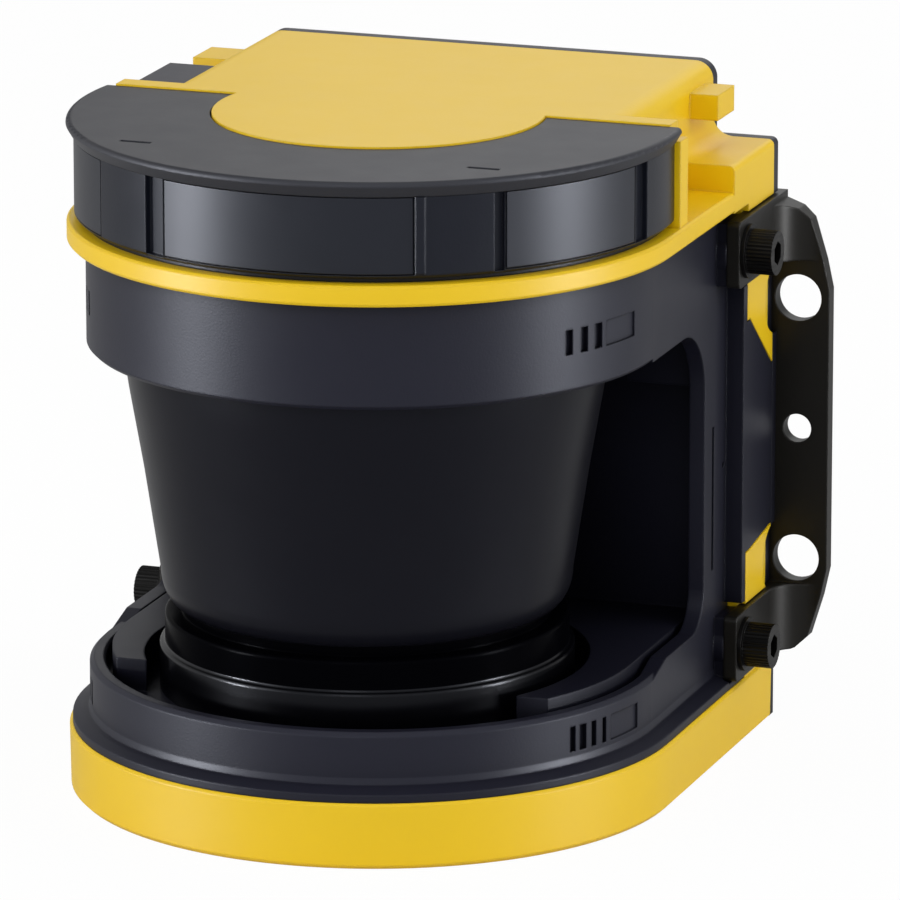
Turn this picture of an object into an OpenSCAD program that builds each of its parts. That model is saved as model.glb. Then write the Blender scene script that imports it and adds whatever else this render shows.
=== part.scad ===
/* [Body] */
// Radius of the round front, and half the body's width
body_r = 56.5; // [54:0.5:62]
// From the centre of the round front to the back of the casting
body_back = 62.5; // [60:0.5:70]
// Height of the yellow base
base_h = 12.3; // [11:0.1:16]
// Height of the black deck above the base
deck_h = 12.2; // [11.5:0.1:15]
// Clear height of the scan gap
gap_h = 59.5; // [56:0.5:66]
// Height of the black hood over the gap
hood_h = 19.6; // [18:0.2:24]
// Thickness of the ring plate
ring_h = 3.9; // [3:0.1:5]
// Height of the sensor drum
drum_h = 15.8; // [14.5:0.1:19]
// Thickness of the cap
cap_h = 3.2; // [2.8:0.1:4]

/* [Walls] */
// Wall of the yellow castings
cast_wall = 3.5; // [2.5:0.1:4]
// Wall of the black mouldings
cover_wall = 3; // [2.2:0.1:3.4]
// How far the black cover stands back from the body's edge
cover_inset = 3.4; // [2.8:0.1:4]
// Thickness of the rear cover
rear_wall = 2.5; // [2:0.1:3.5]

/* [Window] */
// How far the scan axis lies in front of the round front's centre
scan_shift = 5.5; // [4:0.1:6]
// Outer radius of the window at the hood
window_top_r = 44.7; // [42:0.1:45.5]
// Outer radius of the window at its foot
window_foot_r = 38.6; // [37:0.1:40]
// Wall of the window
window_wall = 2.2; // [1.6:0.1:2.6]
// Height of the window's foot above the deck
window_lift = 13.2; // [12:0.1:15]

/* [Top block] */
// Half the width of the top block
block_half = 44.5; // [40:0.5:47]
// Where the front strip starts
strip_y = 7.5; // [5:0.5:10]
// Depth of the front strip
strip_d = 4.5; // [3:0.5:6]
// Radius of the round tongue over the cap
tongue_r = 30.5; // [24:0.5:34]
// Height of the rear shoulders above the ring plate
shoulder_h = 5; // [3:0.5:8]
// Where the rear shoulders start
shoulder_y = 38; // [34:0.5:42]

/* [Rotor] */
// Radius of the scanning mirror
mirror_r = 24; // [20:0.5:24.5]
// Thickness of the scanning mirror
mirror_t = 3; // [2:0.5:4]
// Radius of the shaft
shaft_r = 3; // [2.5:0.5:4]
// Running clearance of the shaft in its bearings
shaft_fit = 0.03; // [0.02:0.01:0.08]

/* [Bracket] */
// Thickness of the bracket plate
plate_t = 3; // [2.5:0.5:5]
// Thickness of the bracket's arms
arm_t = 2.5; // [2:0.5:3]
// Half the width over the flanges
flange_half = 66.8; // [66:0.1:74]
// Height of the bracket
bracket_h = 91; // [88:0.5:96]
// Sideways spacing of the large holes
hole_dx = 121.5; // [120:0.5:126]
// Upright spacing of the large holes
hole_dz = 50.5; // [44:0.5:56]
// Diameter of the large holes
hole_d = 9; // [8:0.5:10]
// Diameter of the middle holes
mid_hole_d = 5.5; // [4.5:0.1:6]
// Upright spacing of the arms
arm_dz = 75.5; // [73:0.5:78]
// Height of each arm
arm_h = 12.6; // [11:0.1:14]
// Where the arm screws sit
arm_screw_y = 43; // [42:0.5:43.5]

/* [Fasteners] */
// Diameter of the bracket screws
arm_screw_d = 5; // [4:0.5:6]
// Diameter of the cover and base screws
small_screw_d = 3; // [2.5:0.5:4]

/* [Fits] */
// Gap between parts that drop into each other
fit = 0.3; // [0.2:0.05:0.4]
// Gap round a screw thread
thread_fit = 0.05; // [0.03:0.01:0.1]

/* [Hidden] */
$fn = 96;

// heights of the stacked parts
deck_z = base_h + deck_h;
hood_z = deck_z + gap_h;
ring_z = hood_z + hood_h;
drum_z = ring_z + ring_h;
cap_z = drum_z + drum_h;
top_z = cap_z + cap_h;
shoulder_z = drum_z + shoulder_h;

// how far a cutting box reaches past everything
far = 80;

// black front cover
cover_r = body_r - cover_inset;
cover_in = cover_r - cover_wall;
tray_depth = 4;
tray_z = deck_z - tray_depth;
tray_t = 2.5;
pad_rise = 2;
pad_in = 33;
pad_front_y = -25.5;
flare_h = 3.2;
side_rise = 1.4;
rise_y = [1, 9];
rim_chamfer = 0.8;
pillar_y = 31.5;
pillar_back = 46.5;
rib_t = 2;
side_tongue = [[deck_z + 12.3, hood_z - 3], [deck_z + 14.2, hood_z - 14.7]];
wall_y = 41;
corner_hi = 13;
corner_lo = 7;
shelf_t = 3;
ledge_in = 37;
groove_y = [36.2, 37.4];
groove_z = [deck_z + 11, hood_z - 21];
vent_y = 43;
vent_r = 0.6;
hood_bars = [[-30.9, -29.1], [-26.9, -25], [-23, -20.8]];
hood_bar_z = [hood_z + 7, hood_z + 11.6];
deck_bars = [[-29.4, -28], [-26.9, -25], [-23.5, -22.1], [-20.2, -19]];
deck_bar_z = [base_h + 4.7, base_h + 9.4];
grip_field = [[-19.5, -9.4], [-17.5, -7.2]];
bar_deep = 1;
field_deep = 0.4;

// window and its seat
window_z = deck_z + window_lift;
seal_t = 0.8;
window_round = 4;
window_top_z = ring_z - seal_t;
collar_r = 37.6;
pad_clear = 3.4;
collar_h = 8.5;
neck_r = 34;
neck_in = 31;
neck_z = window_z - seal_t;

// yellow rear column
column_y = wall_y + cover_wall;
column_half = cover_in - fit;
full_y = pillar_back + fit;
cavity_half = column_half - cast_wall;
cavity_y = column_y + cast_wall;
cavity_lo = base_h + 26;
cavity_hi = ring_z - cast_wall;
optic_r = 40;

// top block
block_round = 3.5;
shoulder_round = 1.2;
fillet_r = 4;
tongue_y = 1.5;
lug_y = [shoulder_y + 10, shoulder_y + 20];
lug_z = [shoulder_z + 6, shoulder_z + 10.8];
lug_out = [9.4, 5.5];
service_x = [-body_r + 3, -block_half];
service_y = [strip_y + strip_d + 1, shoulder_y - 3];

// recess for the connector under the back
cable_half = 13;
cable_y = body_back - 15;
cable_z = cavity_lo - 3;
notch_wall = 2.5;
inlet_y = body_back - 7.5;
inlet_z = base_h + 13;
inlet_r = 6;

// drum
drum_r = body_r - 1.4;
drum_wall = 3;
glass_t = 1.4;
glass_lo = drum_z + 1.8;
glass_hi = cap_z - 0.2;
drum_windows = [[-113.5, -63.6], [-45.6, -13.4], [-166.6, -134.4]];
drum_slots = [[-118.6, -114], [-48, -46], [-12.9, -8.5], [-171.5, -167.1]];
drum_rib = [-63.2, -61.4];
slot_deep = 1.2;
cap_round = 0.9;
cap_drop = 0.3;
cap_slot = [[30, 36], [-36.6, -35.4]];
cap_slot_deep = 0.6;

// bracket
bracket_z = base_h + deck_h / 2 + 38.2;
bracket_y = body_back + rear_wall;
arm_up = 1.2;
arm_z = [bracket_z + arm_up - arm_dz / 2, bracket_z + arm_up + arm_dz / 2];
arm_seat_h = 2;
arm_x = cover_r + arm_seat_h;
arm_y = arm_screw_y - 5.2;
web_half = 30;
web_top = 22;
arm_round = 1;
arm_fillet = 7;
arm_head_r = arm_screw_d * 0.85;
arm_head_h = arm_screw_d;
washer_r = arm_screw_d * 1.04;
washer_t = 0.8;
insert_r = arm_screw_d * 0.64;
insert_len = 6;
boss_r = 5.5;
boss_floor = 1.2;
flange_cut = [[0, 18.4], [1.2, 12.9], [3.6, 5], [5.8, 2.9], [11, 1], [14, 0]];
relief_r = 6.8;
relief_y = bracket_y - 0.5;
relief_x = arm_x + 0.4;

// small screws
small_r = small_screw_d / 2;
head_r = small_screw_d * 0.9;
head_h = small_screw_d * 0.8;
base_screw_at = [[36, -28], [-36, -28], [40, 47.5], [-40, 47.5]];
base_boss_r = head_r + 2.2;
base_floor = 3;
cover_foot = 0.5;
rear_screw_at = [for (x = [-1, 1], z = [base_h + 7, ring_z - 8]) [x * (column_half - 5), z]];

// rotor stack on the scan axis
plate_z = tray_z - tray_t - 3;
plate_thick = 3;
motor_plate_r = 38;
motor_screw_r = motor_plate_r - 3.5;
rest_r = [neck_r - 6, neck_r - 3];
bearing_r = 6.5;
bearing_h = 4;
tube_r = 8.5;
tube_h = 17;
stator_r = 17;
stator_z = plate_z + plate_thick + 2.5;
stator_h = 9;
bell_depth = tube_h - 5;
bell_neck_r = 7;
magnet_gap = 0.5;
bell_r = 21;
bell_t = 1.5;
hub_z = window_z + 4.5;
hub_t = 4;
hub_r = 25;
disc_r = 29;
disc_t = 1;
mirror_z = hub_z + hub_t + 1.5 + mirror_r / sqrt(2) + mirror_t * sqrt(2);
holder_r = mirror_r - 5;
light_hole_r = 3.5;

// optics above the rotor
lens_z = hood_z + 7.5;
lens_r = 25;
lens_t = 6;
laser_r = 6;
lens_curve = 70;
optic_board_z = drum_z + 6;
optic_board = [26, 20];
receiver_posts = [for (x = [-22, 22], y = [-17, 17]) [x, y]];
post_r = 2.4;
board_hole_r = 1.6;
standoff_h = 5;
board_at = [for (x = [-1, 1], z = [cavity_lo + 6, cavity_hi - 6]) [x * (cavity_half - 7), z]];
camera_angles = [-28.5, -151.5];
board_t = 1.6;

// A wall or plate round the front and back along both sides, from a section in (radius, height)
module round_front(back) {
    rotate_extrude(angle = 180, start = 180) children();
    for (m = [0, 1])
        mirror([m, 0, 0])
            translate([0, back, 0])
                rotate([90, 0, 0])
                    linear_extrude(back) children();
}

// A solid block with a round front
module d_block(r, back, z, h) {
    translate([0, 0, z])
        round_front(back) square([r, h]);
}

module scan_axis() {
    translate([0, -scan_shift, 0]) children();
}

// A ring about the scan axis or wherever it is placed
module ring(r_in, r_out, z, h) {
    translate([0, 0, z])
        rotate_extrude() translate([r_in, 0]) square([r_out - r_in, h]);
}

module box_at(x0, x1, y0, y1, z0, z1) {
    translate([x0, y0, z0]) cube([x1 - x0, y1 - y0, z1 - z0]);
}

// The same box on both sides
module both_sides() {
    children();
    mirror([1, 0, 0]) children();
}

// A cylinder along X that starts at x
module rod_x(r, x, len, y, z) {
    translate([x, y, z]) rotate([0, 90, 0]) cylinder(r = r, h = len);
}

// A cylinder along Y that starts at y
module rod_y(r, x, y, len, z) {
    translate([x, y, z]) rotate([-90, 0, 0]) cylinder(r = r, h = len);
}

// What rounds off one corner of a profile
module corner_cut(r) {
    difference() {
        square(r + 1);
        circle(r);
    }
}

// A cap screw standing on z = 0 with its shank down
module cap_screw(d, len, head_radius, head_height) {
    difference() {
        union() {
            cylinder(r = head_radius, h = head_height);
            translate([0, 0, -len]) cylinder(d = d, h = len);
        }
        translate([0, 0, head_height * 0.45]) cylinder(r = d * 0.46, h = head_height, $fn = 6);
    }
}

module base_housing() {
    color("gold") difference() {
        union() {
            difference() {
                round_front(body_back) polygon([
                    [0, 0], [body_r - 0.6, 0], [body_r + 0.2, 0.8], [body_r + 0.4, base_h - 0.5],
                    [body_r - 0.1, base_h], [0, base_h]
                ]);
                d_block(body_r - cast_wall, body_back - cast_wall, base_floor, base_h);
            }
            for (p = base_screw_at)
                translate([p[0], p[1], base_floor]) cylinder(r = base_boss_r, h = base_h - base_floor);
            scan_axis() ring(rest_r[0], rest_r[1], base_floor, plate_z - base_floor - fit);
            // walls round the notch for the cable
            box_at(-cable_half - notch_wall, cable_half + notch_wall,
                cable_y - notch_wall, body_back - 1, 0, base_h);
        }
        for (p = base_screw_at)
            translate([p[0], p[1], 0]) {
                cylinder(r = small_r + fit, h = base_h + 1);
                cylinder(r = head_r + fit, h = head_h + 1);
            }
        box_at(-cable_half, cable_half, cable_y, body_back + 1, -1, base_h + 1);
    }
}

module cover_wall_section() {
    polygon([
        [body_r - 0.2, base_h], [body_r - 0.2, base_h + 1.5], [cover_r + 1.2, base_h + 2.3],
        [cover_r + 0.3, base_h + flare_h - 0.6], [cover_r, base_h + flare_h + 0.6],
        [cover_r, deck_z - rim_chamfer], [cover_r - rim_chamfer, deck_z],
        [cover_in + 0.5, deck_z], [cover_in, deck_z - 0.5], [cover_in, base_h]
    ]);
}

module cover_side_profile() {
    difference() {
        translate([0, base_h]) square([pillar_back, ring_z - base_h]);
        difference() {
            polygon([
                [-1, deck_z - rim_chamfer], [rise_y[0], deck_z - rim_chamfer],
                [rise_y[1], deck_z + side_rise], [pillar_y, deck_z + side_rise],
                [pillar_y, hood_z], [-1, hood_z]
            ]);
            translate([pillar_y - corner_hi, hood_z - corner_hi]) corner_cut(corner_hi);
            translate([pillar_y - corner_lo, deck_z + side_rise + corner_lo])
                mirror([0, 1]) corner_cut(corner_lo);
        }
    }
}

module front_cover() {
    color("#2b2c36") difference() {
        union() {
            // deck wall with its flared foot, round the front only
            rotate_extrude(angle = 180, start = 180) cover_wall_section();
            both_sides()
                translate([0, pillar_back, 0])
                    rotate([90, 0, 0]) linear_extrude(pillar_back) cover_wall_section();
            // hood wall
            rotate_extrude(angle = 180, start = 180) hood_section();
            // side walls and pillars in one sheet
            both_sides()
                translate([cover_in, 0, 0])
                    rotate([90, 0, 90]) linear_extrude(cover_wall) cover_side_profile();
            // deck floor, side pads and hood shelf
            d_block(cover_in + 0.5, column_y - fit, tray_z - tray_t, tray_t);
            side_pads();
            d_block(cover_in + 0.5, wall_y + 1, hood_z, shelf_t);
            // wall behind the window
            box_at(-cover_in - 0.5, cover_in + 0.5, wall_y, wall_y + cover_wall - fit,
                tray_z - 1, ring_z - 6);
            both_sides()
                box_at(ledge_in, cover_in + 0.5, pillar_y + 3, wall_y + 1, hood_z - corner_hi, hood_z + 1);
            // bosses for the inserts, with the seats the bracket's arms lie on
            both_sides() for (z = arm_z) {
                rod_x(boss_r, arm_x - insert_len - boss_floor, insert_len + boss_floor, arm_screw_y, z);
                arm_seat(z);
            }
            both_sides() side_tongue_plate();
            for (p = [base_screw_at[0], base_screw_at[1]])
                translate([p[0], p[1], base_h]) cylinder(r = base_boss_r - 1, h = tray_z - base_h - 1);
        }
        // window aperture and the hole for the motor
        scan_axis() translate([0, 0, hood_z - 1]) cylinder(r = window_top_r + fit, h = hood_h + 2);
        scan_axis() translate([0, 0, tray_z - tray_t - 1]) cylinder(r = neck_in - 1, h = tray_t + 5);
        both_sides() {
            // upright groove and the small vent in each pillar, and the holes for the inserts
            box_at(cover_r - 0.7, cover_r + 1, groove_y[0], groove_y[1], groove_z[0], groove_z[1]);
            rod_x(vent_r, cover_r - 1, 2, vent_y, (deck_z + hood_z) / 2);
            for (z = arm_z) {
                rod_x(insert_r, arm_x - insert_len, insert_len + 1, arm_screw_y, z);
                arm_recess(z);
            }
            // grip bars and the shallow field beside them, on the hood and on the deck wall
            grip_marks(hood_bars, grip_field[0], hood_bar_z);
            grip_marks(deck_bars, grip_field[1], deck_bar_z);
        }
        for (p = [base_screw_at[0], base_screw_at[1]])
            translate([p[0], p[1], base_h - 1]) cylinder(r = small_r + thread_fit, h = 6);
        for (a = [0:60:300])
            scan_axis() rotate([0, 0, a])
                translate([motor_screw_r, 0, tray_z - tray_t - 1])
                    cylinder(r = small_r - 0.5 + thread_fit, h = tray_t + 0.5);
    }
}

// Flat seat under the arm's front end, just inside the arm's outline
module arm_seat(z) {
    half = arm_h / 2 - fit;
    box_at(cover_r - 1, arm_x, arm_y + fit, pillar_back, z - half, z + half);
}

module grip_marks(bars, field, z) {
    for (b = bars)
        arc_slot(b[0], b[1], cover_r - bar_deep, cover_r + 1, z[0], z[1]);
    arc_slot(field[0], field[1], cover_r - field_deep, cover_r + 1, z[0], z[1]);
}

// Tongue of the cover that reaches back over the casting's side, narrower at the back
module side_tongue_plate(grow = 0) {
    thick = body_r - cover_r + grow * 2;
    translate([cover_r - grow, 0, 0]) rotate([90, 0, 90]) linear_extrude(thick) polygon([
        [pillar_back - 2, side_tongue[0][0] - grow], [pillar_back + 2, side_tongue[0][0] - grow],
        [body_back + grow, side_tongue[1][0] - grow], [body_back + grow, side_tongue[1][1] + grow],
        [pillar_back + 2, side_tongue[0][1] + grow], [pillar_back - 2, side_tongue[0][1] + grow]
    ]);
    box_at(cover_r - 1, body_r + grow, pillar_back - rib_t, pillar_back + grow,
        arm_z[0] + arm_h / 2 + 1 - grow, arm_z[1] - arm_h / 2 - 1 + grow);
}

module hood_section() {
    polygon([
        [cover_r - 0.7, hood_z], [cover_r, hood_z + 0.7], [cover_r, ring_z],
        [cover_in, ring_z], [cover_in, hood_z + shelf_t], [cover_in - 0.5, hood_z]
    ]);
}

// Raised pads on each side of the tray, between the collar and the deck wall
module side_pads() {
    difference() {
        d_block(cover_in - 1.2, wall_y + 1, tray_z - 0.5, deck_z + pad_rise - tray_z + 0.5);
        scan_axis() translate([0, 0, tray_z - 1]) cylinder(r = collar_r + pad_clear, h = 20);
        box_at(-far, far, -far, pad_front_y, tray_z - 1, deck_z + 10);
        box_at(-pad_in, pad_in, -far, 0, tray_z - 1, deck_z + 10);
    }
}

module collar_ring() {
    color("#1c1c22") scan_axis() translate([0, 0, tray_z]) rotate_extrude() polygon([
        [neck_in, 0], [collar_r, 0], [collar_r, collar_h - 0.8], [collar_r - 0.8, collar_h],
        [collar_r - 1.6, collar_h], [collar_r - 2, collar_h - 0.8], [neck_r + 0.5, collar_h - 0.8],
        [neck_r, collar_h], [neck_r, neck_z - tray_z], [neck_in, neck_z - tray_z]
    ]);
}

// Cone window: straight rim under the ring plate, cone in the gap, rounded foot turned inwards
module window_section(grow) {
    polygon(concat(
        [[neck_in + 0.6, window_z + (grow ? 0 : window_wall)]],
        [for (a = [-90:15:-10])
            [window_foot_r - 0.6 - window_round * (1 - cos(a)) - (grow ? 0 : window_wall) * cos(a),
             window_z + window_round * (1 + sin(a)) - (grow ? 0 : window_wall) * sin(a)]],
        [[window_top_r - (grow ? 0 : window_wall), hood_z],
         [window_top_r - (grow ? 0 : window_wall), window_top_z],
         [neck_in + 0.6, window_top_z]]
    ));
}

module scan_window() {
    color("#141418") scan_axis() rotate_extrude() difference() {
        window_section(true);
        union() {
            window_section(false);
            translate([0, window_z - 1]) square([neck_in + 0.6, gap_h + hood_h]);
            translate([neck_in, window_top_z - 0.01]) square([10, 1]);
        }
    }
}

module lower_seal() {
    color("#101010") scan_axis() ring(neck_in + 0.7, neck_r - 0.3, neck_z, seal_t);
}

module upper_seal() {
    color("#101010") scan_axis()
        ring(window_top_r - window_wall + 0.1, window_top_r - 0.1, window_top_z, seal_t);
}

// Outline of the top block seen from behind, with rounded upper corners
module block_profile(r) {
    difference() {
        translate([-block_half, drum_z - 1]) square([2 * block_half, top_z - drum_z + 1]);
        for (m = [0, 1])
            mirror([m, 0]) translate([block_half - r, top_z - r]) corner_cut(r);
    }
}

module shoulder_profile(r) {
    difference() {
        translate([-body_r, ring_z]) square([2 * body_r, shoulder_z - ring_z]);
        for (m = [0, 1])
            mirror([m, 0]) translate([body_r - r, shoulder_z - r]) corner_cut(r);
    }
}

module rear_housing() {
    color("gold") difference() {
        union() {
            // ring plate
            round_front(body_back) polygon([
                [0, ring_z], [body_r - 0.5, ring_z], [body_r, ring_z + 0.5],
                [body_r, drum_z - 0.5], [body_r - 0.5, drum_z], [0, drum_z]
            ]);
            // top block and front strip
            translate([0, body_back, 0]) rotate([90, 0, 0])
                linear_extrude(body_back - strip_y) block_profile(block_round);
            box_at(-body_r + 0.8, body_r - 0.8, strip_y, strip_y + strip_d, drum_z - 1, top_z - 3);
            box_at(-body_r + 2.8, body_r - 2.8, strip_y, strip_y + strip_d, drum_z - 1, top_z);
            // tongue over the cap
            translate([0, tongue_y, cap_z]) cylinder(r = tongue_r, h = cap_h);
            // rear shoulders, with the fillet up to the block
            translate([0, body_back, 0]) rotate([90, 0, 0])
                linear_extrude(body_back - shoulder_y) shoulder_profile(shoulder_round);
            both_sides() shoulder_fillet();
            // lugs
            box_at(-block_half - lug_out[0], block_half + lug_out[1], lug_y[0], lug_y[1], lug_z[0], lug_z[1]);
            // column down to the base
            box_at(-column_half, column_half, column_y, body_back, base_h, ring_z + 1);
            both_sides()
                box_at(column_half - 1, body_r, full_y, body_back, base_h, ring_z + 1);
        }
        // optics opening and the cavities, open at the back
        scan_axis() translate([0, 0, ring_z - 1]) cylinder(r = optic_r, h = ring_h + 2);
        box_at(-cavity_half, cavity_half, cavity_y, body_back + 1, cavity_lo, cavity_hi);
        box_at(-block_half + cast_wall, block_half - cast_wall, strip_y + strip_d, body_back + 1,
            drum_z - 0.01, cap_z);
        box_at(-optic_board[0] - 1, optic_board[0] + 1, -far, strip_y + strip_d + 1, drum_z, cap_z);
        // recess for the connector inlet
        box_at(-cable_half, cable_half, cable_y, body_back + 1, base_h - 1, cable_z);
        translate([0, inlet_y, cavity_lo - 4]) cylinder(r = inlet_r - 1, h = 6);
        both_sides() {
            for (z = arm_z) {
                rod_x(boss_r + fit, arm_x - insert_len - boss_floor - fit, insert_len + 3, arm_screw_y, z);
                arm_recess(z);
            }
            side_tongue_plate(fit);
            relief_bites();
        }
        for (p = [base_screw_at[2], base_screw_at[3]])
            translate([p[0], p[1], base_h - 1]) cylinder(r = small_r + thread_fit, h = 8);
        for (p = rear_screw_at)
            rod_y(small_r + thread_fit, p[0], body_back - 8, 9, p[1]);
    }
}

// Slot in the body's side that the arm runs back through
module arm_recess(z) {
    box_at(arm_x, body_r + 2, arm_y - fit, bracket_y + 1, z - arm_h / 2 - fit, z + arm_h / 2 + fit);
}

// Room for a bolt head in front of each large hole
module relief_bites() {
    for (m = [-1, 1])
        rod_x(relief_r, relief_x, body_r, relief_y, bracket_z + m * hole_dz / 2);
}

module shoulder_fillet() {
    translate([0, body_back, 0]) rotate([90, 0, 0])
        linear_extrude(body_back - shoulder_y) difference() {
            translate([block_half - 1, shoulder_z - 1]) square(fillet_r + 1);
            translate([block_half + fillet_r, shoulder_z + fillet_r]) circle(fillet_r);
        }
}

module sensor_drum() {
    color("#2e2f3a") difference() {
        union() {
            rotate_extrude() polygon([
                [drum_r - drum_wall, drum_z], [drum_r - 1.6, drum_z], [drum_r - 1.6, drum_z + 0.8],
                [drum_r - 0.5, drum_z + 1], [drum_r, drum_z + 1.5], [drum_r, cap_z],
                [drum_r - drum_wall, cap_z]
            ]);
            arc_slot(drum_rib[0], drum_rib[1], drum_r - 1, drum_r + 0.4, glass_lo, cap_z);
        }
        box_at(-far, far, strip_y - 0.2, far, drum_z - 1, cap_z + 1);
        // seats of the glossy windows, each with its opening behind
        for (w = drum_windows) {
            arc_slot(w[0] - 0.3, w[1] + 0.3, drum_r - glass_t, drum_r + 1, glass_lo - 0.2, glass_hi + 0.2);
            arc_slot(w[0] + 1.5, w[1] - 1.5, drum_r - drum_wall - 1, drum_r, glass_lo + 1.2, glass_hi - 1.4);
        }
        // dark upright slots
        for (a = drum_slots)
            arc_slot(a[0], a[1], drum_r - slot_deep, drum_r + 1, glass_lo - 0.4, cap_z + 1);
    }
}

module arc_slot(a0, a1, r0, r1, z0, z1) {
    translate([0, 0, z0]) rotate([0, 0, a0])
        rotate_extrude(angle = a1 - a0) translate([r0, 0]) square([r1 - r0, z1 - z0]);
}

module indicator_window() {
    w = drum_windows[0];
    color("#15161c") arc_slot(w[0], w[1], drum_r - glass_t + thread_fit, drum_r, glass_lo, glass_hi);
}

module camera_windows() {
    color("#15161c") for (w = [drum_windows[1], drum_windows[2]])
        arc_slot(w[0], w[1], drum_r - glass_t + thread_fit, drum_r, glass_lo, glass_hi);
}

module top_cap() {
    color("#3a3b44") difference() {
        rotate_extrude() difference() {
            polygon([
                [0, cap_z], [drum_r + 0.2, cap_z], [body_r, top_z - cap_drop - cap_round],
                [body_r, top_z - cap_drop], [0, top_z - cap_drop]
            ]);
            translate([body_r - cap_round, top_z - cap_round - cap_drop]) corner_cut(cap_round);
        }
        both_sides()
            box_at(cap_slot[0][0], cap_slot[0][1], cap_slot[1][0], cap_slot[1][1],
                top_z - cap_drop - cap_slot_deep, top_z);
        box_at(-far, far, strip_y - 0.2, far, cap_z - 1, top_z + 1);
        translate([0, tongue_y, cap_z - 1]) cylinder(r = tongue_r + fit, h = cap_h + 2);
    }
}

module service_cover() {
    color("#24242a") difference() {
        box_at(service_x[0], service_x[1], service_y[0], service_y[1], drum_z, top_z - 1.6);
        box_at(service_x[0] - 1, service_x[0] + 1.2, service_y[0] + 4, service_y[1] - 4,
            drum_z + 5, drum_z + 9);
    }
}

module rear_cover() {
    color("#202024") difference() {
        translate([0, bracket_y, 0]) rotate([90, 0, 0]) linear_extrude(rear_wall) {
            block_profile(block_round);
            shoulder_profile(shoulder_round);
            translate([-body_r, cover_foot]) square([2 * body_r, ring_z - cover_foot + 1]);
        }
        box_at(-cable_half, cable_half, body_back - 1, bracket_y + 1, -1, cable_z);
        for (p = rear_screw_at) {
            rod_y(small_r + fit, p[0], body_back - 1, rear_wall + 2, p[1]);
            rod_y(head_r + fit, p[0], bracket_y - 1.2, 2, p[1]);
        }
        both_sides() {
            for (z = arm_z) arm_recess(z);
            relief_bites();
        }
    }
}

module plate_outline() {
    h = bracket_h / 2;
    corner = [for (c = flange_cut) [flange_half - c[0], h - c[1]]];
    for (m = [0, 1], n = [0, 1])
        mirror([m, 0]) mirror([0, n])
            polygon(concat([[0, 0], [flange_half, 0]], corner, [[0, h]]));
}

module mounting_bracket() {
    color("#1b1b1d") difference() {
        union() {
            translate([0, bracket_y + plate_t, bracket_z])
                rotate([90, 0, 0]) linear_extrude(plate_t) plate_outline();
            for (z = arm_z)
                both_sides() arm(z);
        }
        for (x = [-1, 1], z = [-1, 0, 1])
            rod_y((z == 0 ? mid_hole_d : hole_d) / 2, x * hole_dx / 2, bracket_y - 1, plate_t + 2,
                bracket_z + z * hole_dz / 2);
        both_sides() for (z = arm_z)
            rod_x(arm_screw_d / 2 + fit, arm_x - 1, arm_t + 2, arm_screw_y, z);
        // window for the connector and the cable
        box_at(-web_half, web_half, bracket_y - 1, bracket_y + plate_t + 1,
            bracket_z - bracket_h / 2 - 1, bracket_z + bracket_h / 2 - web_top);
    }
}

// One arm: a plate in the side plane, rounded at its front end, with a fillet into the flange
module arm(z) {
    nose = arm_h / 2;
    fillet_x = arm_x + arm_t + arm_fillet;
    translate([arm_x, 0, z]) rotate([90, 0, 90]) linear_extrude(arm_t) difference() {
        translate([arm_y, -nose]) square([bracket_y + plate_t - arm_y, arm_h]);
        translate([arm_y + arm_round, nose - arm_round]) mirror([1, 0]) corner_cut(arm_round);
        translate([arm_y + arm_round, -nose + arm_round]) rotate(180) corner_cut(arm_round);
    }
    difference() {
        intersection() {
            box_at(arm_x + arm_t - 1, fillet_x, bracket_y - arm_fillet, bracket_y + 1, z - nose, z + nose);
            translate([0, bracket_y + 1, bracket_z]) rotate([90, 0, 0])
                linear_extrude(arm_fillet + 2) plate_outline();
        }
        translate([fillet_x, bracket_y - arm_fillet, z - nose - 1]) cylinder(r = arm_fillet, h = arm_h + 2);
    }
}

module bracket_screws() {
    color("#26262a") for (s = [-1, 1], z = arm_z)
        translate([s * (arm_x + arm_t + washer_t), arm_screw_y, z]) rotate([0, s * 90, 0]) {
            cap_screw(arm_screw_d, washer_t + arm_t + insert_len - 0.5, arm_head_r, arm_head_h);
            translate([0, 0, -washer_t]) cylinder(r = washer_r, h = washer_t);
        }
}

module thread_inserts() {
    color("#b08d3c") for (s = [-1, 1], z = arm_z)
        translate([s > 0 ? arm_x - insert_len : -arm_x, arm_screw_y, z]) rotate([0, 90, 0])
            difference() {
                cylinder(r = insert_r, h = insert_len);
                translate([0, 0, -1]) cylinder(r = arm_screw_d / 2 + thread_fit, h = insert_len + 2);
            }
}

module base_screws() {
    color("silver") for (p = base_screw_at)
        translate([p[0], p[1], head_h]) rotate([180, 0, 0])
            cap_screw(small_screw_d, base_h + 4 - head_h, head_r, head_h);
}

module cover_screws() {
    color("#333338") for (p = rear_screw_at)
        translate([p[0], bracket_y - 1.2, p[1]]) rotate([-90, 0, 0])
            cap_screw(small_screw_d, 7, head_r, 1.1);
}

module motor_plate() {
    color("silver") scan_axis() difference() {
        union() {
            translate([0, 0, plate_z]) cylinder(r = motor_plate_r, h = plate_thick);
            translate([0, 0, plate_z]) cylinder(r = tube_r, h = tube_h);
        }
        for (z = [plate_z - 1, plate_z + tube_h - bearing_h])
            translate([0, 0, z]) cylinder(r = bearing_r, h = bearing_h + 1);
        translate([0, 0, plate_z]) cylinder(r = bearing_r - 1.2, h = tube_h);
        for (a = [0:60:300]) rotate([0, 0, a])
            translate([motor_screw_r, 0, plate_z - 1]) cylinder(r = small_r - 0.3, h = plate_thick + 2);
    }
}

module motor_screws() {
    color("silver") scan_axis() for (a = [0:60:300])
        rotate([0, 0, a]) translate([motor_screw_r, 0, plate_z]) rotate([180, 0, 0])
            cap_screw(small_screw_d - 1, plate_thick + 1.2, head_r - 0.5, head_h - 0.6);
}

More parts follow.
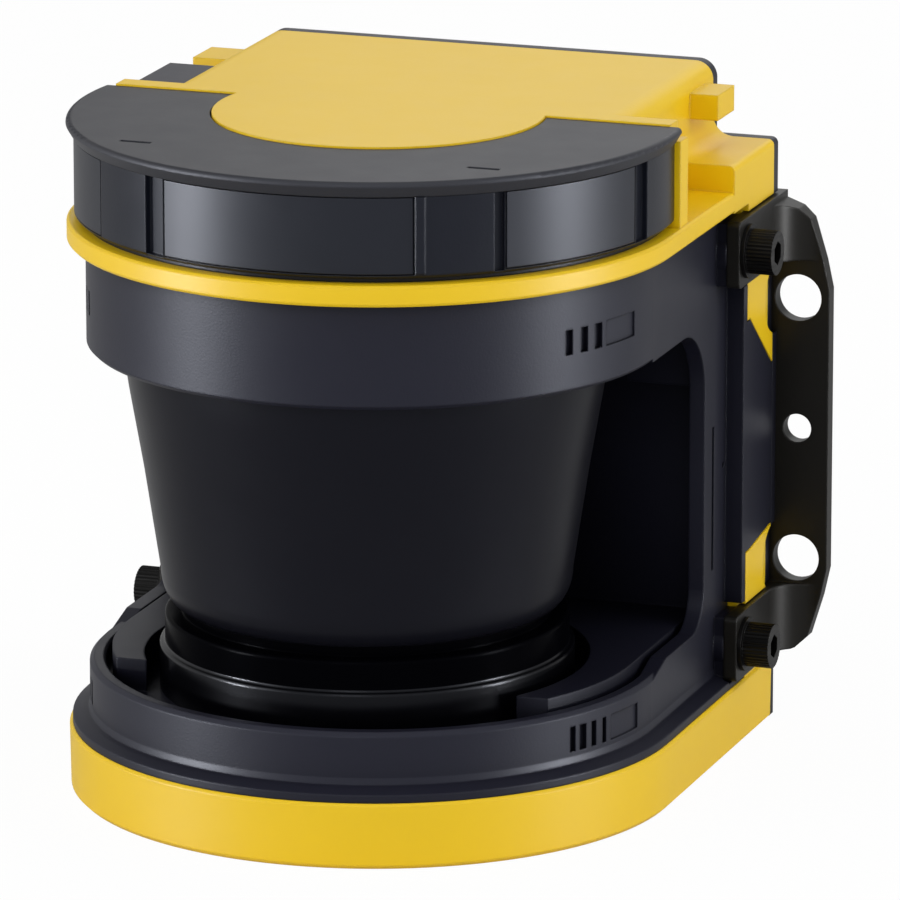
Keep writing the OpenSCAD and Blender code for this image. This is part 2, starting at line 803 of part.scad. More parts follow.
module motor_stator() {
    color("#9a5a2c") scan_axis() difference() {
        translate([0, 0, stator_z]) cylinder(r = stator_r, h = stator_h);
        translate([0, 0, stator_z - 1]) cylinder(r = tube_r + 0.02, h = stator_h + 2);
        for (a = [0:40:320]) rotate([0, 0, a])
            translate([stator_r - 3, 0, stator_z - 1]) cylinder(r = 1.6, h = stator_h + 2);
    }
}

module bearings() {
    color("lightgray") scan_axis() for (z = [plate_z, plate_z + tube_h - bearing_h])
        ring(shaft_r + shaft_fit, bearing_r - 0.02, z, bearing_h);
}

module rotor_shaft() {
    color("silver") scan_axis()
        translate([0, 0, plate_z + 0.5]) cylinder(r = shaft_r, h = hub_z + hub_t + 2 - plate_z);
}

module rotor_bell() {
    color("#8a8d92") scan_axis() translate([0, 0, plate_z + tube_h + 1]) rotate_extrude() {
        rise = hub_z - plate_z - tube_h - 1;
        polygon([
            [shaft_r, 0], [shaft_r, rise], [bell_neck_r, rise], [bell_neck_r, bell_t], [bell_r, bell_t],
            [bell_r, -bell_depth], [stator_r + magnet_gap, -bell_depth], [stator_r + magnet_gap, 0]
        ]);
    }
}

module mirror_hub() {
    color("#6d7077") scan_axis() difference() {
        translate([0, 0, hub_z]) cylinder(r = hub_r, h = hub_t);
        translate([0, 0, hub_z - 1]) cylinder(r = shaft_r, h = hub_t + 2);
        for (a = [0:60:300]) rotate([0, 0, a])
            translate([hub_r - 7, 0, hub_z - 1]) cylinder(r = light_hole_r, h = hub_t + 2);
    }
}

module encoder_disc() {
    color("#a9adb3") scan_axis() difference() {
        ring(bell_neck_r, disc_r, hub_z - disc_t, disc_t);
        for (a = [0:12:348]) rotate([0, 0, a])
            box_at(disc_r - 3, disc_r - 1.2, -0.8, 0.8, hub_z - disc_t - 1, hub_z + 1);
    }
}

module encoder_sensor() {
    color("#202020") scan_axis() difference() {
        box_at(-4, 4, disc_r - 4.5, neck_in + 1.5, hub_z - 8, hub_z + 4);
        box_at(-5, 5, disc_r - 5, disc_r + 0.6, hub_z - disc_t - 0.8, hub_z + 5);
        translate([0, 0, hub_z - 9]) difference() {
            cylinder(r = neck_in + 6, h = 20);
            translate([0, 0, -1]) cylinder(r = neck_in - thread_fit, h = 22);
        }
    }
}

// Drum below the mirror, cut off on the mirror's slant
module mirror_holder() {
    back = mirror_t / sqrt(2);
    color("#3b3d42") scan_axis() difference() {
        translate([0, 0, hub_z + hub_t]) cylinder(r = holder_r, h = mirror_z + holder_r - hub_z - hub_t);
        translate([0, 0, mirror_z - back * 2]) rotate([45, 0, 0])
            translate([-far, -far, 0]) cube([2 * far, 2 * far, far]);
        translate([0, 0, hub_z]) cylinder(r = 9, h = 14);
    }
}

module scan_mirror() {
    color("#c9d4dc") scan_axis()
        translate([0, 0, mirror_z - mirror_t * sqrt(2)]) rotate([45, 0, 0])
            cylinder(r = mirror_r, h = mirror_t);
}

module lens_holder() {
    color("#2a2a2e") scan_axis() difference() {
        union() {
            ring(lens_r, lens_r + 2.5, lens_z, ring_z + 1 - lens_z);
            ring(lens_r, optic_r - 0.3, ring_z, 3);
        }
        for (a = [45:90:315]) rotate([0, 0, a])
            translate([optic_r - 5, 0, ring_z - 1]) cylinder(r = 1.6, h = 6);
    }
}

module receiver_lens() {
    color("#9fb4c4") scan_axis() difference() {
        rotate_extrude() intersection() {
            translate([laser_r, lens_z + 0.5]) square([lens_r - laser_r, lens_t + 3]);
            translate([0, lens_z + 0.5 + lens_t - lens_curve]) circle(lens_curve);
        }
    }
}

module laser_module() {
    color("#5a5d63") scan_axis() union() {
        translate([0, 0, lens_z - 1]) cylinder(r = laser_r, h = 13);
        translate([0, 0, lens_z + 12]) cylinder(r = laser_r + 1, h = 2);
    }
}

module receiver_board() {
    color("#1f6b3a") scan_axis() {
        difference() {
            box_at(-optic_board[0], optic_board[0], -optic_board[1], optic_board[1],
                optic_board_z, optic_board_z + board_t);
            for (p = receiver_posts)
                translate([p[0], p[1], optic_board_z - 1]) cylinder(r = board_hole_r, h = board_t + 2);
        }
        translate([0, 0, optic_board_z - 3]) cylinder(r = 4.5, h = 3);
    }
}

module main_board() {
    y = cavity_y + standoff_h;
    color("#1f6b3a") {
        difference() {
            box_at(-cavity_half + 3, cavity_half - 3, y, y + board_t, cavity_lo + 2, cavity_hi - 2);
            for (p = board_at)
                rod_y(board_hole_r, p[0], y - 1, board_t + 2, p[1]);
        }
        box_at(-14, 4, y + board_t, y + board_t + 2, cavity_lo + 20, cavity_lo + 38);
        box_at(12, 24, y + board_t, y + board_t + 1.6, cavity_lo + 24, cavity_lo + 36);
        box_at(-8, 8, y + board_t, y + board_t + 5, cavity_lo + 4, cavity_lo + 10);
    }
}

module board_standoffs() {
    color("#c8a24a") {
        for (p = board_at)
            rod_y(board_hole_r * 2, p[0], cavity_y, standoff_h, p[1]);
        scan_axis() for (p = receiver_posts)
            translate([p[0], p[1], ring_z + 3]) cylinder(r = post_r, h = optic_board_z - ring_z - 3);
    }
}

module connector_inlet() {
    color("#8c8f94") translate([0, inlet_y, 0]) difference() {
        union() {
            translate([0, 0, inlet_z - 3]) cylinder(r = inlet_r, h = 9);
            translate([0, 0, cable_z - 3]) cylinder(r = inlet_r + 1.5, h = 3, $fn = 6);
            translate([0, 0, inlet_z]) cylinder(r = inlet_r - 1.1, h = cavity_lo - inlet_z);
        }
        translate([0, 0, inlet_z - 4]) cylinder(r = inlet_r - 1.2, h = 7);
    }
}

module camera_modules() {
    color("#26282c") for (a = camera_angles) rotate([0, 0, a]) {
        box_at(drum_r - 17, drum_r - 9, -6, 6, drum_z, drum_z + 13);
        translate([drum_r - 9, 0, (glass_lo + glass_hi) / 2]) rotate([0, 90, 0]) difference() {
            cylinder(r = 4, h = 5);
            translate([0, 0, 3]) cylinder(r = 3.2, h = 3);
        }
    }
}

module camera_lenses() {
    color("#32506b") for (a = camera_angles) rotate([0, 0, a])
        translate([drum_r - 6, 0, (glass_lo + glass_hi) / 2]) rotate([0, 90, 0]) cylinder(r = 3.2, h = 1.5);
}

module indicator_board() {
    y = -drum_r + 8;
    color("#1f6b3a") {
        box_at(-20, 20, y, y + board_t, drum_z, cap_z - 1);
        for (x = [-15:6:15])
            box_at(x - 1.6, x + 1.6, y - 1.2, y, glass_lo + 3, glass_lo + 6.2);
    }
}

base_housing();
front_cover();
collar_ring();
scan_window();
lower_seal();
upper_seal();
rear_housing();
sensor_drum();
indicator_window();
camera_windows();
top_cap();
service_cover();
rear_cover();
mounting_bracket();
bracket_screws();
thread_inserts();
base_screws();
cover_screws();
motor_plate();
motor_screws();
motor_stator();
bearings();
rotor_shaft();
rotor_bell();
mirror_hub();
encoder_disc();
encoder_sensor();
mirror_holder();
scan_mirror();
lens_holder();
receiver_lens();
laser_module();
receiver_board();
main_board();
board_standoffs();
connector_inlet();
camera_modules();
camera_lenses();
indicator_board();
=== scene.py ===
import bpy, math
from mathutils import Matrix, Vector


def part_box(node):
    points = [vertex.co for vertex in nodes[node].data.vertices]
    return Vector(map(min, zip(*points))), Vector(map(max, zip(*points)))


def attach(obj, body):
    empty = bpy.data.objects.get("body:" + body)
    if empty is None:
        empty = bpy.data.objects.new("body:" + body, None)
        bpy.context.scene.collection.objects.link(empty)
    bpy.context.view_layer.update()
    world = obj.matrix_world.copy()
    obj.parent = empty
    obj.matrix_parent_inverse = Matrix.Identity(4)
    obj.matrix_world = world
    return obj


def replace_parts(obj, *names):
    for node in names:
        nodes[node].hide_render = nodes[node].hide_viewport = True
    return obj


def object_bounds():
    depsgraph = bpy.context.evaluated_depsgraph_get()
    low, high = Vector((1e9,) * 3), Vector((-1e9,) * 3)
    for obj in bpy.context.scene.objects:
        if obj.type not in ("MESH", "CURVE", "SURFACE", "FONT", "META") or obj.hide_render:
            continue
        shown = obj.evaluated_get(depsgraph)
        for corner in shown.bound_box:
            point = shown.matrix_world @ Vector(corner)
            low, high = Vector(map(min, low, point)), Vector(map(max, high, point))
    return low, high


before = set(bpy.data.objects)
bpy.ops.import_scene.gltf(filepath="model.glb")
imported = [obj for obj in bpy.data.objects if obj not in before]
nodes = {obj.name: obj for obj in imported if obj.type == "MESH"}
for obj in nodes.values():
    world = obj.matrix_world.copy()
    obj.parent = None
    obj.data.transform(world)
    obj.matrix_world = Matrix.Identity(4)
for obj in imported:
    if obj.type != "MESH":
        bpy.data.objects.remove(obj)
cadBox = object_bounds()
mm = 0.001
print("frame loaded:", len(nodes), "nodes")

cameraSet = {
    "azimuth": 19.2,      # degrees round from the front
    "elevation": 14.56,
    "distance": 1.640,
    "lens": 357.5,
    "sensor": 36,
    "clip": (0.05, 30),
    "target": (0, 0, 0.0666),
    "slideRight": 0.0134,   # the object stands a little left of the middle
    "slideDown": 0.0034,
}


def makeCamera(s):
    a, e = math.radians(s["azimuth"]), math.radians(s["elevation"])
    back = Vector((math.sin(a) * math.cos(e), -math.cos(a) * math.cos(e), math.sin(e)))
    turn = (-back).to_track_quat("-Z", "Y")
    right, up = turn @ Vector((1, 0, 0)), turn @ Vector((0, 1, 0))
    data = bpy.data.cameras.new("camera")
    data.lens, data.sensor_width = s["lens"], s["sensor"]
    data.clip_start, data.clip_end = s["clip"]
    cam = bpy.data.objects.new("camera", data)
    cam.rotation_mode = "QUATERNION"
    cam.rotation_quaternion = turn
    cam.location = Vector(s["target"]) + back * s["distance"]
    cam.location += right * s["slideRight"] - up * s["slideDown"]
    bpy.context.scene.collection.objects.link(cam)
    bpy.context.scene.camera = cam


lightSet = {
    # name: (where from, aimed at, width, height, watts, lights matt surfaces, lights glossy ones)
    "topBox": ((0.1, -0.1, 1.2), (0, 0, 0.1), 1.2, 1.2, 3.2, True, True),
    "leftBox": ((-1.05, -0.72, 0.55), (0, 0, 0.05), 1.0, 0.9, 9.2, True, True),
    "rightBox": ((1.25, 0.12, 0.55), (0, 0, 0.05), 1.0, 0.9, 8.2, True, True),
    "frontBox": ((0.3, -1.9, 1.3), (0, 0, 0.06), 0.7, 0.4, 4.4, True, True),
    "backBox": ((-0.1, 1.4, 0.7), (0, 0, 0.06), 1.0, 0.6, 2.0, True, True),
    "frontFill": ((0.5, -1.5, 0.14), (0, 0, 0.05), 0.8, 0.25, 2.6, True, False),
    # the strips stay lower than the cap, so its top never shows them
    "leftStrip": ((-1.02, -0.75, 0.062), (0, 0, 0.062), 0.26, 0.12, 17.0, False, True),
    "rightStrip": ((1.25, 0.08, 0.062), (0, 0, 0.062), 0.26, 0.12, 12.0, False, True),
}


def makeLights(s):
    for name, (place, aim, width, height, watts, matt, glossy) in s.items():
        data = bpy.data.lights.new(name, "AREA")
        data.shape, data.size, data.size_y, data.energy = "RECTANGLE", width, height, watts
        lamp = bpy.data.objects.new(name, data)
        lamp.location = place
        lamp.visible_diffuse, lamp.visible_glossy = matt, glossy
        lamp.rotation_mode = "QUATERNION"
        lamp.rotation_quaternion = (Vector(aim) - Vector(place)).to_track_quat("-Z", "Y")
        bpy.context.scene.collection.objects.link(lamp)


def addMath(tree, operation, a, b):
    node = tree.nodes.new("ShaderNodeMath")
    node.operation = operation
    for socket, value in zip(node.inputs, (a, b)):
        if isinstance(value, (int, float)):
            socket.default_value = value
        else:
            tree.links.new(value, socket)
    return node.outputs[0]


def addRange(tree, value, fromLow, fromHigh, toLow, toHigh):
    node = tree.nodes.new("ShaderNodeMapRange")
    tree.links.new(value, node.inputs["Value"])
    for i, v in enumerate((fromLow, fromHigh, toLow, toHigh)):
        node.inputs[i + 1].default_value = v
    return node.outputs[0]


worldSet = {
    "fill": 0.45,        # strength for matt surfaces
    "horizon": 0.9,      # what glossy surfaces see
    "overhead": 0.4,
    "behind": 0.5,
    "fadeHeight": (0.3, 0.9),
    "fadeBack": (0.1, 0.6),
}


def makeWorld(s):
    world = bpy.data.worlds.new("studio")
    bpy.context.scene.world = world
    world.use_nodes = True
    tree = world.node_tree
    tree.nodes.clear()
    path = tree.nodes.new("ShaderNodeLightPath")
    seen = addMath(tree, "MAXIMUM", path.outputs["Is Camera Ray"], path.outputs["Is Glossy Ray"])
    seen = addMath(tree, "MAXIMUM", seen, path.outputs["Is Transmission Ray"])
    light, back = tree.nodes.new("ShaderNodeBackground"), tree.nodes.new("ShaderNodeBackground")
    light.inputs["Color"].default_value, light.inputs["Strength"].default_value = (1, 1, 1, 1), s["fill"]
    back.inputs["Color"].default_value = (1, 1, 1, 1)
    place = tree.nodes.new("ShaderNodeSeparateXYZ")
    tree.links.new(tree.nodes.new("ShaderNodeTexCoord").outputs["Generated"], place.inputs[0])
    fade = addRange(tree, place.outputs["Z"], *s["fadeHeight"], s["horizon"], s["overhead"])
    rear = addRange(tree, place.outputs["Y"], *s["fadeBack"], 1, s["behind"])
    dimmed = addMath(tree, "MULTIPLY", fade, rear)
    dimmed = addMath(tree, "MAXIMUM", dimmed, path.outputs["Is Camera Ray"])
    tree.links.new(dimmed, back.inputs["Strength"])
    mix, out = tree.nodes.new("ShaderNodeMixShader"), tree.nodes.new("ShaderNodeOutputWorld")
    tree.links.new(seen, mix.inputs[0])
    tree.links.new(light.outputs[0], mix.inputs[1])
    tree.links.new(back.outputs[0], mix.inputs[2])
    tree.links.new(mix.outputs[0], out.inputs["Surface"])


floorSet = {
    "half": 6,
    "shade": 0.86,
    "cameraWhite": 0.96,     # share of plain white that the camera sees, the rest takes the shadow
    "bouncedShare": 0.7,     # the same in reflections
    "bouncedLevel": 0.36,
}


def makeFloor(s):
    mesh = bpy.data.meshes.new("floor")
    low, half = cadBox[0].z, s["half"]
    corners = [(-half, -half, low), (half, -half, low), (half, half, low), (-half, half, low)]
    mesh.from_pydata(corners, [], [(0, 1, 2, 3)])
    floor = bpy.data.objects.new("floor", mesh)
    bpy.context.scene.collection.objects.link(floor)
    mat = bpy.data.materials.new("paleFloor")
    mat.use_nodes = True
    tree = mat.node_tree
    tree.nodes.clear()
    path = tree.nodes.new("ShaderNodeLightPath")
    bounced = addMath(tree, "MAXIMUM", path.outputs["Is Glossy Ray"], path.outputs["Is Transmission Ray"])
    bounced = addMath(tree, "MULTIPLY", bounced, s["bouncedShare"])
    seen = addMath(tree, "MULTIPLY", path.outputs["Is Camera Ray"], s["cameraWhite"])
    share = addMath(tree, "MAXIMUM", seen, bounced)
    matt, glow = tree.nodes.new("ShaderNodeBsdfDiffuse"), tree.nodes.new("ShaderNodeEmission")
    matt.inputs["Color"].default_value = (s["shade"], s["shade"], s["shade"], 1)
    glow.inputs["Color"].default_value = (1, 1, 1, 1)
    strength = addMath(tree, "MAXIMUM", path.outputs["Is Camera Ray"], s["bouncedLevel"])
    tree.links.new(strength, glow.inputs["Strength"])
    mix, out = tree.nodes.new("ShaderNodeMixShader"), tree.nodes.new("ShaderNodeOutputMaterial")
    tree.links.new(share, mix.inputs[0])
    tree.links.new(matt.outputs[0], mix.inputs[1])
    tree.links.new(glow.outputs[0], mix.inputs[2])
    tree.links.new(mix.outputs[0], out.inputs["Surface"])
    mesh.materials.append(mat)


makeCamera(cameraSet)
makeLights(lightSet)
makeWorld(worldSet)
makeFloor(floorSet)
print("camera, lights and floor made")


class Finish:
    def __init__(self, name):
        self.mat = bpy.data.materials.new(name)
        self.mat.use_nodes = True
        self.tree = self.mat.node_tree
        self.bsdf = self.tree.nodes["Principled BSDF"]
        self.coords = self.tree.nodes.new("ShaderNodeTexCoord").outputs["Object"]

    def node(self, kind, **inputs):
        made = self.tree.nodes.new(kind)
        for name, value in inputs.items():
            socket = made.inputs[name]
            if hasattr(value, "is_output"):
                self.tree.links.new(value, socket)
            else:
                socket.default_value = value
        return made

    def stretched(self, x, y, z):
        moved = self.node("ShaderNodeMapping", Vector=self.coords)
        moved.inputs["Scale"].default_value = (x, y, z)
        return moved.outputs[0]

    def noise(self, scale, detail=3, where=None):
        where = where or self.coords
        made = self.node("ShaderNodeTexNoise", Vector=where, Scale=scale, Detail=detail, Roughness=0.5)
        return made.outputs[0]

    def mapped(self, value, fromLow, fromHigh, toLow, toHigh):
        return addRange(self.tree, value, fromLow, fromHigh, toLow, toHigh)

    def spread(self, noise, low, high):
        return self.mapped(noise, *textures["noiseRange"], low, high)

    def mixed(self, share, a, b):
        made = self.tree.nodes.new("ShaderNodeMix")
        made.data_type = "RGBA"
        self.tree.links.new(share, made.inputs[0])
        for socket, value in ((made.inputs[6], a), (made.inputs[7], b)):
            if hasattr(value, "is_output"):
                self.tree.links.new(value, socket)
            else:
                socket.default_value = (*value, 1)
        return made.outputs[2]

    def edge(self, radius):
        made = self.node("ShaderNodeBevel", Radius=radius)
        made.samples = textures["edgeSamples"]
        return made.outputs[0]

    def bump(self, height, distance, strength, under):
        made = self.node("ShaderNodeBump", Height=height, Distance=distance, Strength=strength, Normal=under)
        return made.outputs[0]

    def set(self, **inputs):
        for name, value in inputs.items():
            socket = self.bsdf.inputs[name.replace("_", " ")]
            if hasattr(value, "is_output"):
                self.tree.links.new(value, socket)
            else:
                socket.default_value = value


textures = {
    "noiseRange": (0.3, 0.7),    # where most of a noise lies
    "paintBlotches": 30,     # noise scales, per metre
    "paintSheen": 160,
    "paintGrain": 1100,
    "grain": 0.03 * mm,      # bump height
    "strength": 0.5,
    "mouldBlotches": 24,
    "mouldSheen": 140,
    "sheenSpread": 0.012,    # roughness, either way
    "metalShades": (0.92, 1.05),
    "metalSpread": 0.06,
    "metalBump": 0.02 * mm,
    "metalStrength": 0.4,
    "metalStretch": (0.12, 0.12, 1),
    "edge": 0.5 * mm,
    "metalEdge": 0.2 * mm,
    "edgeSamples": 4,
    "blueTint": (0.84, 0.88, 1, 1),
    # painted shade in recesses, taken from ambient occlusion
    "paintedShadeSamples": 8,
    "paintedShadeOpen": (0.25, 0.85),
    "paintedShadeDarkness": 0.35,
    "paintedShadeGloss": 0.3,
    "dullGloss": 0.01,
}


def castPaint(name, dark, light, roughness, specular):
    f, t = Finish(name), textures
    color = f.mixed(f.spread(f.noise(t["paintBlotches"]), 0, 1), dark, light)
    sheen = f.spread(f.noise(t["paintSheen"], 2), roughness - t["sheenSpread"], roughness + t["sheenSpread"])
    normal = f.bump(f.noise(t["paintGrain"], 2), t["grain"], t["strength"], f.edge(t["edge"]))
    f.set(Base_Color=color, Roughness=sheen, Specular_IOR_Level=specular, Normal=normal)
    return f.mat


def moulded(name, dark, light, roughness, specular,
        grain=textures["grain"], scale=2600, edge=textures["edge"], paintedShadeReach=None, dullAbove=None):
    f, t = Finish(name), textures
    color = f.mixed(f.spread(f.noise(t["mouldBlotches"]), 0, 1), dark, light)
    gloss = specular
    if paintedShadeReach:    # painted shade: colour and gloss darker in recesses, over this distance
        paintedShade = f.node("ShaderNodeAmbientOcclusion", Distance=paintedShadeReach)
        paintedShade.samples = t["paintedShadeSamples"]
        shaded = tuple(c * t["paintedShadeDarkness"] for c in dark)
        color = f.mixed(f.mapped(paintedShade.outputs["AO"], *t["paintedShadeOpen"], 0, 1), shaded, color)
        gloss = f.mapped(paintedShade.outputs["AO"], *t["paintedShadeOpen"], specular * t["paintedShadeGloss"], specular)
    if dullAbove:
        height = f.node("ShaderNodeSeparateXYZ", Vector=f.coords).outputs["Z"]
        gloss = f.mapped(height, dullAbove, dullAbove + 0.1 * mm, specular, t["dullGloss"])
    sheen = f.spread(f.noise(t["mouldSheen"]), roughness - t["sheenSpread"], roughness + t["sheenSpread"])
    normal = f.bump(f.noise(scale, 2), grain, t["strength"], f.edge(edge))
    f.set(Base_Color=color, Roughness=sheen, Normal=normal)
    f.set(Specular_IOR_Level=gloss, Specular_Tint=t["blueTint"])
    return f.mat


def turnedMetal(name, color, roughness, metal=1.0, lines=2400, specular=0.5):
    f, t = Finish(name), textures
    marks = f.noise(lines, 2, f.stretched(*t["metalStretch"]))
    darker, lighter = (tuple(min(1, c * share) for c in color) for share in t["metalShades"])
    f.set(Base_Color=f.mixed(f.spread(marks, 0, 1), darker, lighter))
    f.set(Metallic=metal, Specular_IOR_Level=specular)
    f.set(Roughness=f.spread(marks, roughness - t["metalSpread"], roughness + t["metalSpread"]))
    f.set(Normal=f.bump(marks, t["metalBump"], t["metalStrength"], f.edge(t["metalEdge"])))
    return f.mat


yellowPaint = castPaint("yellowPaint", (0.745, 0.486, 0.001), (0.765, 0.5, 0.002), 0.4, 0.38)
bracketPaint = castPaint("bracketPaint", (0.0030, 0.0025, 0.0014), (0.0038, 0.0031, 0.0018), 0.4, 0.28)

# the covers get painted shade in their recesses, over 30 mm
blackMoulding = moulded("blackMoulding", (0.0080, 0.0080, 0.0158), (0.0090, 0.0090, 0.0172), 0.42, 0.3,
    paintedShadeReach=30 * mm)
drumMoulding = moulded("drumMoulding", (0.005, 0.006, 0.011), (0.006, 0.007, 0.012), 0.32, 0.32)
innerMoulding = moulded("innerMoulding", (0.0006, 0.0006, 0.0012), (0.0009, 0.0009, 0.0015), 0.2, 0.25,
    grain=0.004 * mm, scale=500, dullAbove=29.3 * mm)    # glossy foot, dull sleeve
capMoulding = moulded("capMoulding", (0.0145, 0.0145, 0.0185), (0.0155, 0.0155, 0.0195), 0.46, 0.44,
    grain=0.04 * mm)
windowMoulding = moulded("windowMoulding", (0.0048, 0.0048, 0.0078), (0.0058, 0.0058, 0.0088), 0.32, 0.13,
    grain=0.01 * mm, scale=1800)
glossWindow = moulded("glossWindow", (0.005, 0.006, 0.010), (0.006, 0.007, 0.012), 0.38, 0.42,
    grain=0.004 * mm, scale=500, edge=0.3 * mm)
sealRubber = moulded("sealRubber", (0.012, 0.012, 0.012), (0.02, 0.02, 0.02), 0.75, 0.3)
boardGreen = moulded("boardGreen", (0.01, 0.12, 0.035), (0.014, 0.16, 0.05), 0.4, 0.4)
partPlastic = moulded("partPlastic", (0.02, 0.02, 0.022), (0.028, 0.028, 0.03), 0.5, 0.4)
opticGlass = moulded("opticGlass", (0.03, 0.05, 0.09), (0.05, 0.07, 0.12), 0.06, 0.5,
    grain=0.002 * mm, scale=300, edge=0.3 * mm)

blackOxide = turnedMetal("blackOxide", (0.0015, 0.0013, 0.0013), 0.34, metal=0.0, specular=0.14)
plainSteel = turnedMetal("plainSteel", (0.62, 0.63, 0.65), 0.3)
insertBrass = turnedMetal("insertBrass", (0.75, 0.55, 0.22), 0.32)
machinedAluminium = turnedMetal("machinedAluminium", (0.74, 0.75, 0.77), 0.34)
darkAluminium = turnedMetal("darkAluminium", (0.05, 0.05, 0.055), 0.4)
copperWinding = turnedMetal("copperWinding", (0.62, 0.28, 0.12), 0.3)
mirrorCoating = turnedMetal("mirrorCoating", (0.9, 0.91, 0.93), 0.08, lines=400)
platedConnector = turnedMetal("platedConnector", (0.66, 0.64, 0.58), 0.28)

finishes = {
    yellowPaint: ["base_housing", "rear_housing"],
    blackMoulding: ["front_cover", "service_cover", "rear_cover"],
    drumMoulding: ["sensor_drum"],
    innerMoulding: ["collar_ring"],
    capMoulding: ["top_cap"],
    windowMoulding: ["scan_window"],
    glossWindow: ["indicator_window", "camera_windows"],
    sealRubber: ["lower_seal", "upper_seal"],
    bracketPaint: ["mounting_bracket"],
    blackOxide: ["bracket_screws", "cover_screws"],
    plainSteel: ["base_screws", "motor_screws", "bearings", "rotor_shaft", "encoder_disc"],
    insertBrass: ["thread_inserts", "board_standoffs"],
    machinedAluminium: ["motor_plate", "rotor_bell", "mirror_hub"],
    darkAluminium: ["mirror_holder", "lens_holder", "laser_module"],
    copperWinding: ["motor_stator"],
    mirrorCoating: ["scan_mirror"],
    boardGreen: ["receiver_board", "main_board", "indicator_board"],
    partPlastic: ["encoder_sensor", "camera_modules"],
    platedConnector: ["connector_inlet"],
    opticGlass: ["receiver_lens", "camera_lenses"],
}


def setFinish(obj, mat):
    if not obj.data.materials:
        obj.data.materials.append(mat)
    for slot in obj.material_slots:
        slot.material = mat


for mat, names in finishes.items():
    for name in names:
        setFinish(nodes[name], mat)
print("materials made")


steepAngle = 0.5    # radians, edges past this stay sharp


class NodeTree:
    def __init__(self, name, inputs):
        self.tree = bpy.data.node_groups.new(name, "GeometryNodeTree")
        self.tree.interface.new_socket("Geometry", in_out="OUTPUT", socket_type="NodeSocketGeometry")
        self.values = {}
        for label, value in inputs.items():
            kind = {int: "Int", float: "Float"}.get(type(value), "Material")
            socket = self.tree.interface.new_socket(label, in_out="INPUT", socket_type="NodeSocket" + kind)
            self.values[socket.identifier] = value
        self.given = self.tree.nodes.new("NodeGroupInput").outputs
        self.end = self.tree.nodes.new("NodeGroupOutput")

    def plug(self, socket, value):
        if isinstance(value, (list, tuple)) and any(hasattr(v, "is_output") for v in value):
            value = self.add("ShaderNodeCombineXYZ", X=value[0], Y=value[1], Z=value[2])
        if hasattr(value, "is_output"):
            self.tree.links.new(value, socket)
        else:
            socket.default_value = value

    def add(self, kind, settings=None, **sockets):
        node = self.tree.nodes.new(kind)
        for name, value in (settings or {}).items():
            setattr(node, name, value)
        for name, value in sockets.items():
            self.plug(node.inputs[name.replace("_", " ")], value)
        return node.outputs[0]

    def math(self, operation, a, b):
        node = self.tree.nodes.new("ShaderNodeMath")
        node.operation = operation
        self.plug(node.inputs[0], a)
        self.plug(node.inputs[1], b)
        return node.outputs[0]

    def scaled(self, place, across):
        node = self.tree.nodes.new("ShaderNodeVectorMath")
        node.operation = "MULTIPLY"
        self.plug(node.inputs[0], place)
        self.plug(node.inputs[1], (across, across, 1.0))
        return node.outputs[0]

    def moved(self, geometry, up):
        return self.add("GeometryNodeTransform", Geometry=geometry, Translation=(0.0, 0.0, up))

    def join(self, *parts):
        node = self.tree.nodes.new("GeometryNodeJoinGeometry")
        for part in reversed(parts):
            self.tree.links.new(part, node.inputs[0])
        return node.outputs[0]

    def finish(self, geometry, smooth):
        shaded = self.add("GeometryNodeSetShadeSmooth", Geometry=geometry, Shade_Smooth=smooth)
        if smooth:
            steep = self.math("GREATER_THAN", self.add("GeometryNodeInputMeshEdgeAngle"), steepAngle)
            shaded = self.add("GeometryNodeSetShadeSmooth", {"domain": "EDGE"},
                Geometry=shaded, Selection=steep, Shade_Smooth=False)
        real = self.add("GeometryNodeRealizeInstances", Geometry=shaded)
        painted = self.add("GeometryNodeSetMaterial", Geometry=real, Material=self.given["Material"])
        self.tree.links.new(painted, self.end.inputs[0])


def grow(name, made):
    obj = bpy.data.objects.new(name, bpy.data.meshes.new(name))
    bpy.context.scene.collection.objects.link(obj)
    tool = obj.modifiers.new("grow", "NODES")
    tool.node_group = made.tree
    for identifier, value in made.values.items():
        tool[identifier] = value
    bpy.context.view_layer.update()
    mesh = bpy.data.meshes.new_from_object(obj.evaluated_get(bpy.context.evaluated_depsgraph_get()))
    obj.modifiers.remove(tool)
    obj.data = mesh
    mesh.name = name
    return obj


armScrews = {
    "Head Radius": 4.2 * mm,
    "Head Height": 4.95 * mm,
    "Knurls": 36,
    "Knurl Depth": 0.035,     # share of the radius
    "Socket Radius": 2.3 * mm,
    "Socket Depth": 2.8 * mm,
    "Washer Radius": 5.1 * mm,
    "Washer Height": 0.8 * mm,
    "Thread Radius": 2.45 * mm,
    "Thread Pitch": 0.8 * mm,
    "Crest": 0.48,            # share of the pitch
    "Shank": 8.6 * mm,
    "Thread Start": 0.93,     # share of the shank
    "Washer Sides": 64,
    "Shank Sides": 32,
    "Thread Steps": 24,       # to a turn
}


